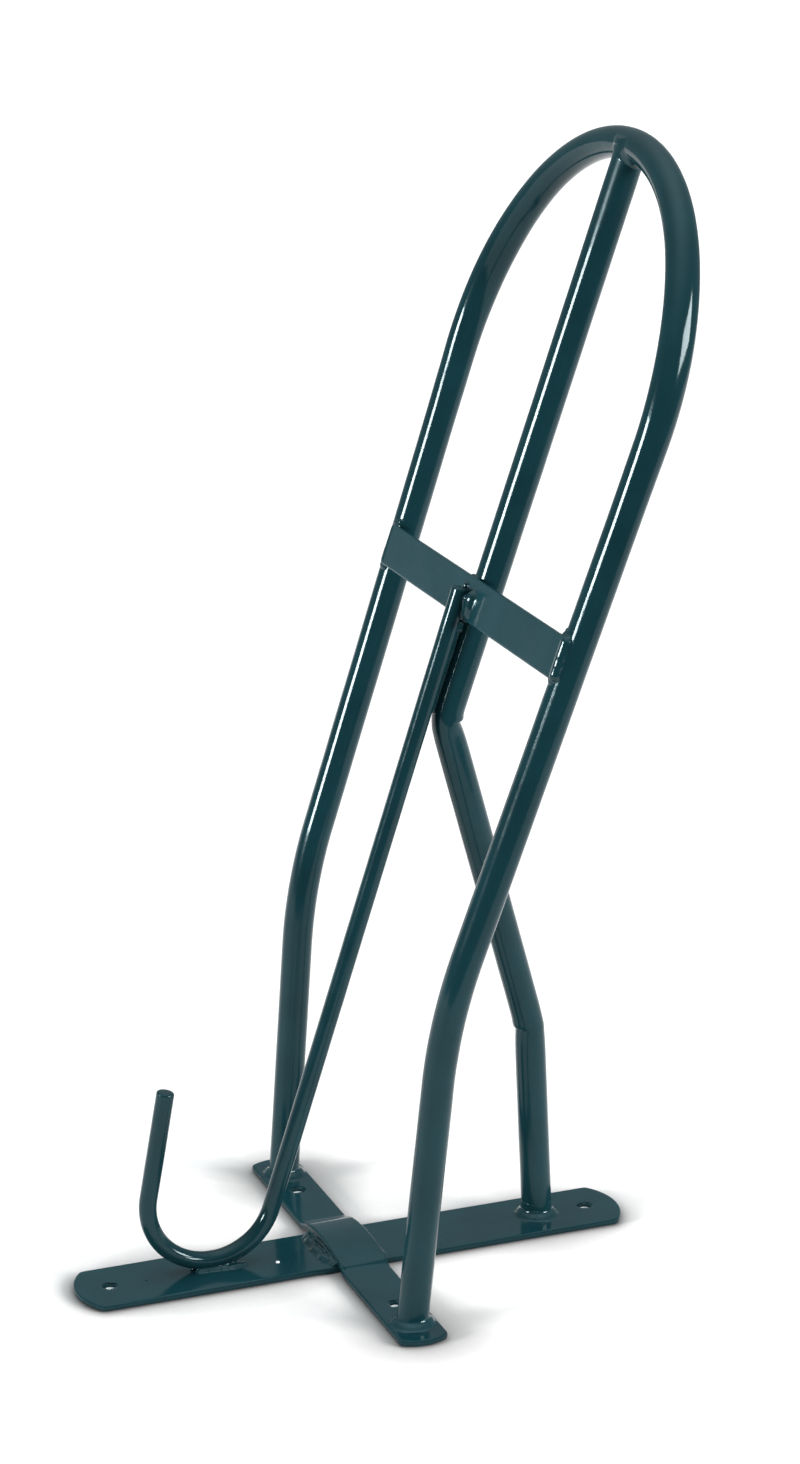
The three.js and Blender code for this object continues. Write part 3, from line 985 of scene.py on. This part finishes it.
def nose_weld():
    """A saddle of weld where the centre tube meets the hoop, with a crease down its far side."""
    middle = NOSE - UP_LEG * NOSE_R
    crease_top = NOSE + OUTWARD * (TUBE_R + 0.6) + SIDE * 6.5 + UP_LEG * 2
    crease_end = NOSE + OUTWARD * (TUBE_R - 1.6) + SIDE * 7.5 - UP_LEG * 10

    def field(p):
        out = (p - NOSE) @ OUTWARD
        across = (p - NOSE) @ UP_LEG
        tube = np.maximum(upper_centre_tube(p), across)
        hoop = ring_bar(p, middle, OUTWARD, NOSE_R, TUBE_R + TUBE_COAT_T) + SINK
        from_tube = np.hypot(p[:, 1] - CENTRE_Y, out) - TUBE_R - 0.2
        under_hoop = across + np.sqrt(np.clip(TUBE_R**2 - out**2, 0, None)) + 0.8
        bead = np.hypot(from_tube, under_hoop) + 0.3 - 0.2 * noise(p, 8.0, 61)
        whole = smooth_union(smooth_union(tube, hoop, 4.5), bead, 3.5)
        return -smooth_union(-whole, capsule(p, crease_top, crease_end, 0.8), 1.5)

    build_weld("nose_weld", field, NOSE - vec(18, 17, 21), NOSE + vec(11, 17, 6), 0.75)


def strap_end_weld(side):
    """The strap's end is welded to the leg's outer face down its whole width."""
    y_end = STRAP_LEFT if side > 0 else STRAP_RIGHT
    on_leg, heading = leg_direction(side, STRAP_RUN + STRAP_W / 2)
    bead_low = in_plane(STRAP_RUN + 1.5, y_end + side * 0.2, TUBE_R + 1.0)
    bead_high = in_plane(STRAP_RUN + STRAP_W - 1.5, y_end + side * 0.4, TUBE_R + 1.0)
    # (run, inwards, radius) of the lumps where the weld starts and ends on the leg
    lumps = [(STRAP_W + 0.8, 2.0, 1.8), (STRAP_W + 2.6, 4.2, 1.5), (-1.2, 1.0, 1.9), (-2.2, 3.5, 1.4)]

    def field(p):
        joint = smooth_union(coated_tube(p, on_leg, on_leg + heading), strap_field(p), 3.5)
        weld = smooth_union(joint, beads(p, bead_low, bead_high, 1.8, 8, 71 + side, 0.12), 3.0)
        for run, inwards, radius in lumps:
            at = in_plane(STRAP_RUN + run, on_leg[1] - side * inwards, TUBE_R - 0.3 - 0.1 * inwards**2)
            weld = smooth_union(weld, ball(p, at, radius), 1.8)
        q = p - vec(on_leg[0], y_end - side * 4.5, on_leg[2])
        return cut_square(weld, q, 16.5, 11.5, 3.0)

    corners = [on_leg + OUTWARD * o + UP_LEG * u for o in (1.0, 14.5) for u in (-17, 17)]
    low, high = np.min(corners, 0) - SIDE * 11, np.max(corners, 0) + SIDE * 11
    build_weld(f"strap_weld_{side_name(side)}", field, low, high, 0.75)


def side_name(side):
    return "left" if side > 0 else "right"


def strap_edge_weld(node, run, seed, radius):
    """A short bead between one edge of the strap and the centre tube."""
    at = in_plane(run, CENTRE_Y, TUBE_R + 1.0)

    def field(p):
        bead = beads(p, at - SIDE * 4.2, at + SIDE * 4.2, radius, 4, seed, 0.2)
        joint = smooth_union(upper_centre_tube(p), strap_field(p), 1.6)
        return cut_square(smooth_union(joint, bead, 1.8), p - at, 4.5, 9.0, -4.0)

    reach = vec(9, 10, 9)
    build_weld(node, field, at - reach, at + reach, 0.6)


def hook_strap_weld():
    """A pool of weld on the near side of the hook's top end, and a bead on its far side."""
    near_y, far_y = HOOK_TOP[1] - ROD_R, HOOK_TOP[1] + ROD_R
    low, high = STRAP_RUN + 3, HOOK_RUN - 1
    # (place up the pool, height over the strap, radius) of its drops
    drops = ((0.08, -0.4, 2.7), (0.38, -0.2, 3.2), (0.68, 0.1, 3.5), (0.92, -0.2, 3.1))
    bead_low = in_plane(low + 8, far_y + 0.6, STRAP_FACE + 0.4)
    bead_high = in_plane(low + 16, far_y + 0.4, STRAP_FACE + 0.4)
    rod_low, rod_high = HOOK_TOP - HOOK_AXIS * 40, HOOK_TOP - HOOK_AXIS * ROD_R
    middle = in_plane(HOOK_RUN - 9, HOOK_TOP[1], STRAP_FACE + 4)

    def field(p):
        rod = capsule(p, rod_low, rod_high, ROD_R + ROD_COAT_T) + SINK
        joint = smooth_union(rod, strap_field(p), 3.0)
        pool = 1e3
        for k, (t, out, r) in enumerate(drops):
            at = in_plane(low + (high - low) * t, near_y - 1.8 - 0.4 * (k % 2), STRAP_FACE + out)
            pool = smooth_union(pool, ball(p, at, r), 4.0)
        whole = smooth_union(smooth_union(joint, pool, 2.5), capsule(p, bead_low, bead_high, 1.5), 1.5)
        return cut_square(whole - 0.25 * noise(p, 5.0, 83), p - middle, 13.5, 13.5, -5.0)

    reach = vec(14, 14, 17)
    build_weld("hook_strap_weld", field, middle - reach, middle + reach, 0.7)


def hook_tube_weld():
    """Weld between the hook and the centre tube, just under the strap."""
    start, end = STRAP_RUN - 10, STRAP_RUN - 1
    middle = in_plane((start + end) / 2, CENTRE_Y, 11.0)
    bead_low, bead_high = in_plane(start + 3, CENTRE_Y - 1.0, 11.0), in_plane(end - 2, CENTRE_Y - 1.0, 11.2)

    def field(p):
        rod = round_bar(p, HOOK_TOP - HOOK_AXIS, HOOK_TOP, ROD_R + ROD_COAT_T) + SINK
        joint = smooth_union(rod, upper_centre_tube(p), 1.0)
        joint = smooth_union(joint, beads(p, bead_low, bead_high, 1.8, 4, 91, 0.25), 2.0)
        q = p - middle
        ends = np.abs(q @ UP_LEG) - (end - start) / 2
        return common(joint, ends, np.abs(q @ SIDE) - 3.0, np.abs(q @ OUTWARD) - 6.0)

    reach = vec(11, 7, 13)
    build_weld("hook_tube_weld", field, middle - reach, middle + reach, 0.6)


def coat_web():
    """The coat has run down from the hook's weld and closes the gap beside the centre tube."""

    def in_gap(run):
        tube = in_plane(run, CENTRE_Y)
        across = HOOK_TOP - HOOK_AXIS * ((HOOK_TOP - tube) @ HOOK_AXIS) - tube
        span = np.linalg.norm(across)
        return tube + across / span * (TUBE_R + span - ROD_R) / 2 + SIDE * 1.0, span - TUBE_R - ROD_R

    (low, low_gap), (high, high_gap) = in_gap(CENTRE_RUN + 5), in_gap(STRAP_RUN - 8)
    radius = max(low_gap, high_gap) / 2 + 0.5

    def field(p):
        return capsule(p, low, high, radius) - 0.25 * noise(p, 7.0, 97)

    reach = vec(1, 1, 1) * (radius + 1)
    verts, faces = surface_net(field, np.minimum(low, high) - reach, np.maximum(low, high) + reach, 0.6)
    make_piece("coat_web_hook_tube", verts, faces, WELD_COAT, ())


def hook_bar_weld(side, drops):
    """Weld between the bottom of the J and the long bar, as drops given by (x, y, radius)."""

    def field(p):
        rod = ring_bar(p, vec(*HOOK_CENTRE), SIDE, HOOK_R, ROD_R + ROD_COAT_T) + SINK
        joint = smooth_union(rod, bar_face(p), 3.2)
        for x, y, r in drops:
            joint = smooth_union(joint, drop(p, vec(HOOK_X + x, side * y, PLATE + 0.3), r), 2.5)
        joint = joint - 0.2 * noise(p, 5.0, 101 + side)
        x, y, z = (p - vec(HOOK_X, 0, PLATE)).T
        return common(joint, np.abs(x) - 21.0, 0.5 - side * y, np.abs(y) - 11.0, z - 7.0, -0.8 - z)

    low, high = vec(HOOK_X - 22, 0, PLATE - 1.2), vec(HOOK_X + 22, side * 12, PLATE + 7.5)
    build_weld(f"hook_bar_weld_{side_name(side)}", field, low, high, 0.6)


def short_bar_field(p):
    """Distance to the short bar where it is raised over the long one."""
    height, _ = joggle(p[:, 1])
    section = np.abs(np.stack([p[:, 0], p[:, 2] - height - PLATE / 2], 1))
    beyond = section - vec(SHORT_W / 2 - BAR_EDGE, PLATE / 2 - BAR_EDGE)
    return np.linalg.norm(np.maximum(beyond, 0), axis=1) + np.minimum(beyond.max(1), 0) - BAR_EDGE


def crossing_weld(side, leg, drops, seed):
    """Weld along one edge of the short bar over the long bar, with drops as (y, out, radius)."""
    edge = side * SHORT_W / 2

    def field(p):
        joint = smooth_union(bar_face(p), short_bar_field(p) + SINK, leg * 0.5)
        for y, out, r in drops:
            joint = smooth_union(joint, drop(p, vec(edge + side * out, y, PLATE + 0.2), r), 3.0)
        joint = joint - 0.18 * noise(p, 6.0, seed)
        x, y, z = (p - vec(edge + side, LONG_Y, PLATE)).T
        return common(joint, np.abs(x) - 8.5, np.abs(y) - LONG_W / 2 + 0.5, -0.8 - z)

    low = vec(edge - side * 8, LONG_Y - LONG_W / 2, PLATE - 1.2)
    high = vec(edge + side * 10, LONG_Y + LONG_W / 2, PLATE + 7)
    build_weld("crossing_weld_lower" if side < 0 else "crossing_weld_upper", field, low, high, 0.6)


def fleck_material():
    """Pale, mottled grey-white for a small bright fleck on the long bar."""
    material, tree, shader, place = new_material("pale_fleck")
    mottle = noise_node(tree, place, 400.0, 2.0, 0.5, 57.0)
    shade = ramp(tree, mottle, [(0.3, (0.62, 0.68, 0.70)), (0.7, (0.82, 0.86, 0.87))])
    feed_all(tree, shader, {"Base Color": shade, "Roughness": 0.35})
    return material


def droplet(name, x, y, radius, height, material):
    """A drop of coating or spatter set hard on the long bar, its rim sunk 0.1 mm."""
    rings, sides = 6, 20
    verts = []
    for i in range(rings):
        a = i * math.pi / 2 / rings
        ring = circle((x, y), radius * math.cos(a), sides)
        verts += [(*p, PLATE - 0.1 + height * math.sin(a)) for p in ring]
    verts += [(x, y, PLATE - 0.4), (x, y, PLATE - 0.1 + height)]
    make_piece(name, verts, ring_faces(rings, sides), material, ())


build_hoop()
build_centre_tube()
build_hook()
long_bar = build_long_bar()
short_bar = build_short_bar()
build_strap()

LEG_HEADING = unit(vec(BEND_X, (BEND_Z - PLATE) * math.tan(SPLAY), BEND_Z))
foot_weld("hoop_foot_weld_left", 0.3, FOOT_Y, LEG_HEADING, seed=3)
foot_weld("hoop_foot_weld_right", 0.3, -FOOT_Y, LEG_HEADING * FLIP, seed=5)
CENTRE_HEADING = unit(vec(*CENTRE_LOW) - vec(CENTRE_FOOT_X, CENTRE_Y, PLATE))
foot_weld("centre_foot_weld", CENTRE_FOOT_X - 0.3, CENTRE_Y, CENTRE_HEADING, seed=7, blend=4.5, bead=1.6)
nose_weld()
strap_end_weld(1)
strap_end_weld(-1)
strap_edge_weld("strap_weld_centre_upper", STRAP_RUN + STRAP_W + 0.2, seed=13, radius=0.7)
strap_edge_weld("strap_weld_centre_lower", STRAP_RUN - 0.6, seed=17, radius=1.2)
hook_strap_weld()
hook_tube_weld()
coat_web()
FAR_DROPS = [(-11, 4.8, 2.2), (-6, 5.2, 2.6), (-1, 5.3, 2.8), (4, 5.2, 2.6), (10, 4.8, 2.5), (15, 4.2, 2.0)]
NEAR_DROPS = [(-9, 3.7, 1.2), (-5, 3.8, 1.4), (-1, 3.9, 1.5), (3, 4.2, 1.8), (7.5, 4.4, 2.2)]
NEAR_DROPS += [(12, 4.6, 2.5), (16, 4.0, 2.1), (19.5, 3.4, 1.8)]
hook_bar_weld(1, FAR_DROPS)
hook_bar_weld(-1, NEAR_DROPS)
LOWER_DROPS = [(21, 0.3, 2.6), (16, 1.9, 3.6), (10, 2.6, 4.0), (4, 1.8, 3.5), (-2, 3.2, 4.2), (-8, 2.2, 3.7)]
LOWER_DROPS += [(-13.5, 3.0, 3.9), (-18, 1.2, 2.9), (-23.5, 0.8, 2.4)]
crossing_weld(-1, 5, LOWER_DROPS, 111)
crossing_weld(1, 3, [(y, 0.5, 1.7) for y in range(-20, 19, 4)], 113)
droplet("coat_drop_near_crossing", -46.0, -8.0, 1.25, 1.0, fleck_material())
droplet("coat_drop_near_end", -126.5, -2.0, 1.0, 0.9, WELD_COAT)


# ---- Studio ----

# (openness, tone) of the paper: painted contact shade, which greys it softly where something stands close to
# it.
PAINTED_CONTACT_SHADE = [(0.5, 0.28), (0.73, 0.36), (0.88, 0.50), (0.95, 0.64), (0.985, 0.77), (1.0, 0.85)]
CONTACT_SHADE_REACH = 0.05
PAPER = vec(1.07, 1.0, 0.985)
# The colour the paper is painted in the screw holes, where it would lie in shade: painted light.
HOLE_PAINTED_LIGHT = (0.9, 0.9, 0.9)
SCREW_HOLES = (
    (LONG_LOW + LONG_HOLE_INSET, LONG_Y),
    (LONG_HIGH - LONG_HOLE_INSET, LONG_Y),
    (0.0, -SHORT_HOLE_Y),
    (0.0, SHORT_HOLE_Y),
)


def floor_material():
    """Matt white paper with painted contact shade round what stands on it, but none in the screw holes,
    where the paper is painted light.
    """
    material, tree, shader, place = new_material("floor_paper")
    # Painted contact shade: the paper's colour darkens where ambient occlusion finds it closed in.
    near = add_node(tree, "ShaderNodeAmbientOcclusion", samples=32, Distance=CONTACT_SHADE_REACH)
    tone = ramp(tree, near.outputs["AO"], [(at, tuple(PAPER * tone)) for at, tone in PAINTED_CONTACT_SHADE])
    # In each screw hole the painted contact shade gives way to the painted light of the hole paper.
    for x, y in SCREW_HOLES:
        away = add_node(tree, "ShaderNodeVectorMath", operation="DISTANCE")
        tree.links.new(place, away.inputs[0])
        away.inputs[1].default_value = (x * MM, y * MM, 0)
        centimetres = maths(tree, "MULTIPLY", away.outputs["Value"], 100.0)
        hole_light_mask = ramp(tree, centimetres, [(0.6, (1.0,)), (0.8, (0.0,))])
        tone = mix_colour(tree, hole_light_mask, tone, HOLE_PAINTED_LIGHT)
    feed_all(tree, shader, {"Base Color": tone, "Roughness": 0.8, "Specular IOR Level": 0.1})
    return material


PLUG_HEIGHT = 1.9
FLOOR_DROP = 0.4
FLOOR_LOW, FLOOR_HIGH = (-4.0, -0.85), (3.0, 6.0)


def build_floor():
    """White paper under the rack and up in its screw holes. It ends in front, where it is dark."""
    (x0, y0), (x1, y1) = FLOOR_LOW, FLOOR_HIGH
    mesh = bpy.data.meshes.new("floor")
    verts, faces = [(x0, y0, 0), (x1, y0, 0), (x1, y1, 0), (x0, y1, 0)], [(0, 1, 2, 3)]
    for centre in SCREW_HOLES:
        disc = circle(centre, HOLE_R - 0.1) * MM
        faces.append(tuple(range(len(verts), len(verts) + len(disc))))
        verts += [(x, y, PLUG_HEIGHT * MM) for x, y in disc]
    mesh.from_pydata(verts, [], faces)
    floor = add_object("floor", mesh)
    mesh.materials.append(floor_material())
    floor.location.z = -FLOOR_DROP * MM


CEILING_GLOW = 1.7
ROOM_TINT = (0.84, 0.97, 1, 1)
SOFTBOX_DISTANCE = 100.0

CAMERA_PLACE = Vector((-0.7271, -1.9537, 1.0057))
CAMERA_TARGET = Vector((0.035448, 0.0, 0.324749))
FOCAL_LENGTH = 93.47


def build_camera():
    camera = bpy.data.cameras.new("camera")
    camera.lens = FOCAL_LENGTH
    camera.sensor_width = 36.0
    holder = add_object("camera", camera)
    holder.location = CAMERA_PLACE
    holder.rotation_euler = (CAMERA_TARGET - CAMERA_PLACE).to_track_quat("-Z", "Y").to_euler()
    bpy.context.scene.camera = holder


def studio_strength(tree, place):
    """How bright the room is: dark in front of the rack, light behind it and lightest overhead."""
    facing = unit(np.array(CAMERA_PLACE - CAMERA_TARGET) * vec(1, 1, 0.4))
    dot = add_node(tree, "ShaderNodeVectorMath", operation="DOT_PRODUCT")
    tree.links.new(place, dot.inputs[0])
    dot.inputs[1].default_value = tuple(facing)
    front = map_range(tree, dot.outputs["Value"], (-1.0, 1.0), (0.0, 1.0), "LINEAR")
    light = ramp(tree, front, [(0.0, (0.36,)), (0.5, (0.26,)), (0.8, (0.09,)), (1.0, (0.03,))])
    overhead = maths(tree, "POWER", maths(tree, "MAXIMUM", height_of(tree, place), 0.0), 4.0)
    return maths(tree, "MULTIPLY_ADD", overhead, CEILING_GLOW, light)


def build_world():
    """The studio in reflections and on surfaces, and plain white to the camera."""
    world = bpy.data.worlds.new("studio")
    bpy.context.scene.world = world
    world.use_nodes = True
    tree = world.node_tree
    studio = tree.nodes["Background"]
    studio.inputs["Color"].default_value = ROOM_TINT
    place = tree.nodes.new("ShaderNodeTexCoord").outputs["Generated"]
    tree.links.new(studio_strength(tree, place), studio.inputs["Strength"])
    plain = add_node(tree, "ShaderNodeBackground", Color=(1, 1, 1, 1), Strength=1.0)
    path = tree.nodes.new("ShaderNodeLightPath")
    mix = tree.nodes.new("ShaderNodeMixShader")
    tree.links.new(path.outputs["Is Camera Ray"], mix.inputs["Fac"])
    tree.links.new(studio.outputs["Background"], mix.inputs[1])
    tree.links.new(plain.outputs["Background"], mix.inputs[2])
    tree.links.new(mix.outputs["Shader"], tree.nodes["World Output"].inputs["Surface"])


def add_softbox(name, azimuth, elevation, width, height, radiance, spared):
    """A rectangular light far off that doesn't light the spared pieces.

    Its place and its size are angles seen from the rack, in degrees.
    """
    a, e = math.radians(azimuth), math.radians(elevation)
    away = Vector((math.cos(a) * math.cos(e), math.sin(a) * math.cos(e), math.sin(e)))
    lamp = bpy.data.lights.new(name, "AREA")
    lamp.shape = "RECTANGLE"
    lamp.size = 2 * SOFTBOX_DISTANCE * math.tan(math.radians(width / 2))
    lamp.size_y = 2 * SOFTBOX_DISTANCE * math.tan(math.radians(height / 2))
    lamp.energy = radiance * math.pi * lamp.size * lamp.size_y
    holder = add_object(name, lamp)
    holder.location = away * SOFTBOX_DISTANCE
    holder.rotation_euler = away.to_track_quat("Z", "Y").to_euler()
    receivers = bpy.data.collections.new(name + "_receivers")
    holder.light_linking.receiver_collection = receivers
    for piece in spared:
        receivers.objects.link(piece)
    for member in receivers.collection_objects:
        member.light_linking.link_state = "EXCLUDE"


build_floor()
build_camera()
build_world()
# The flat bars would mirror the softboxes, so these leave them unlit, and the bars' coat is painted brighter
# instead.
BARS = (long_bar, short_bar)
add_softbox("front_softbox", -43, 19, width=29, height=18, radiance=30.0, spared=BARS)
add_softbox("low_end_softbox", 183, 12.6, width=18, height=8.4, radiance=80.0, spared=BARS)
bpy.context.scene.view_settings.view_transform = "Standard"
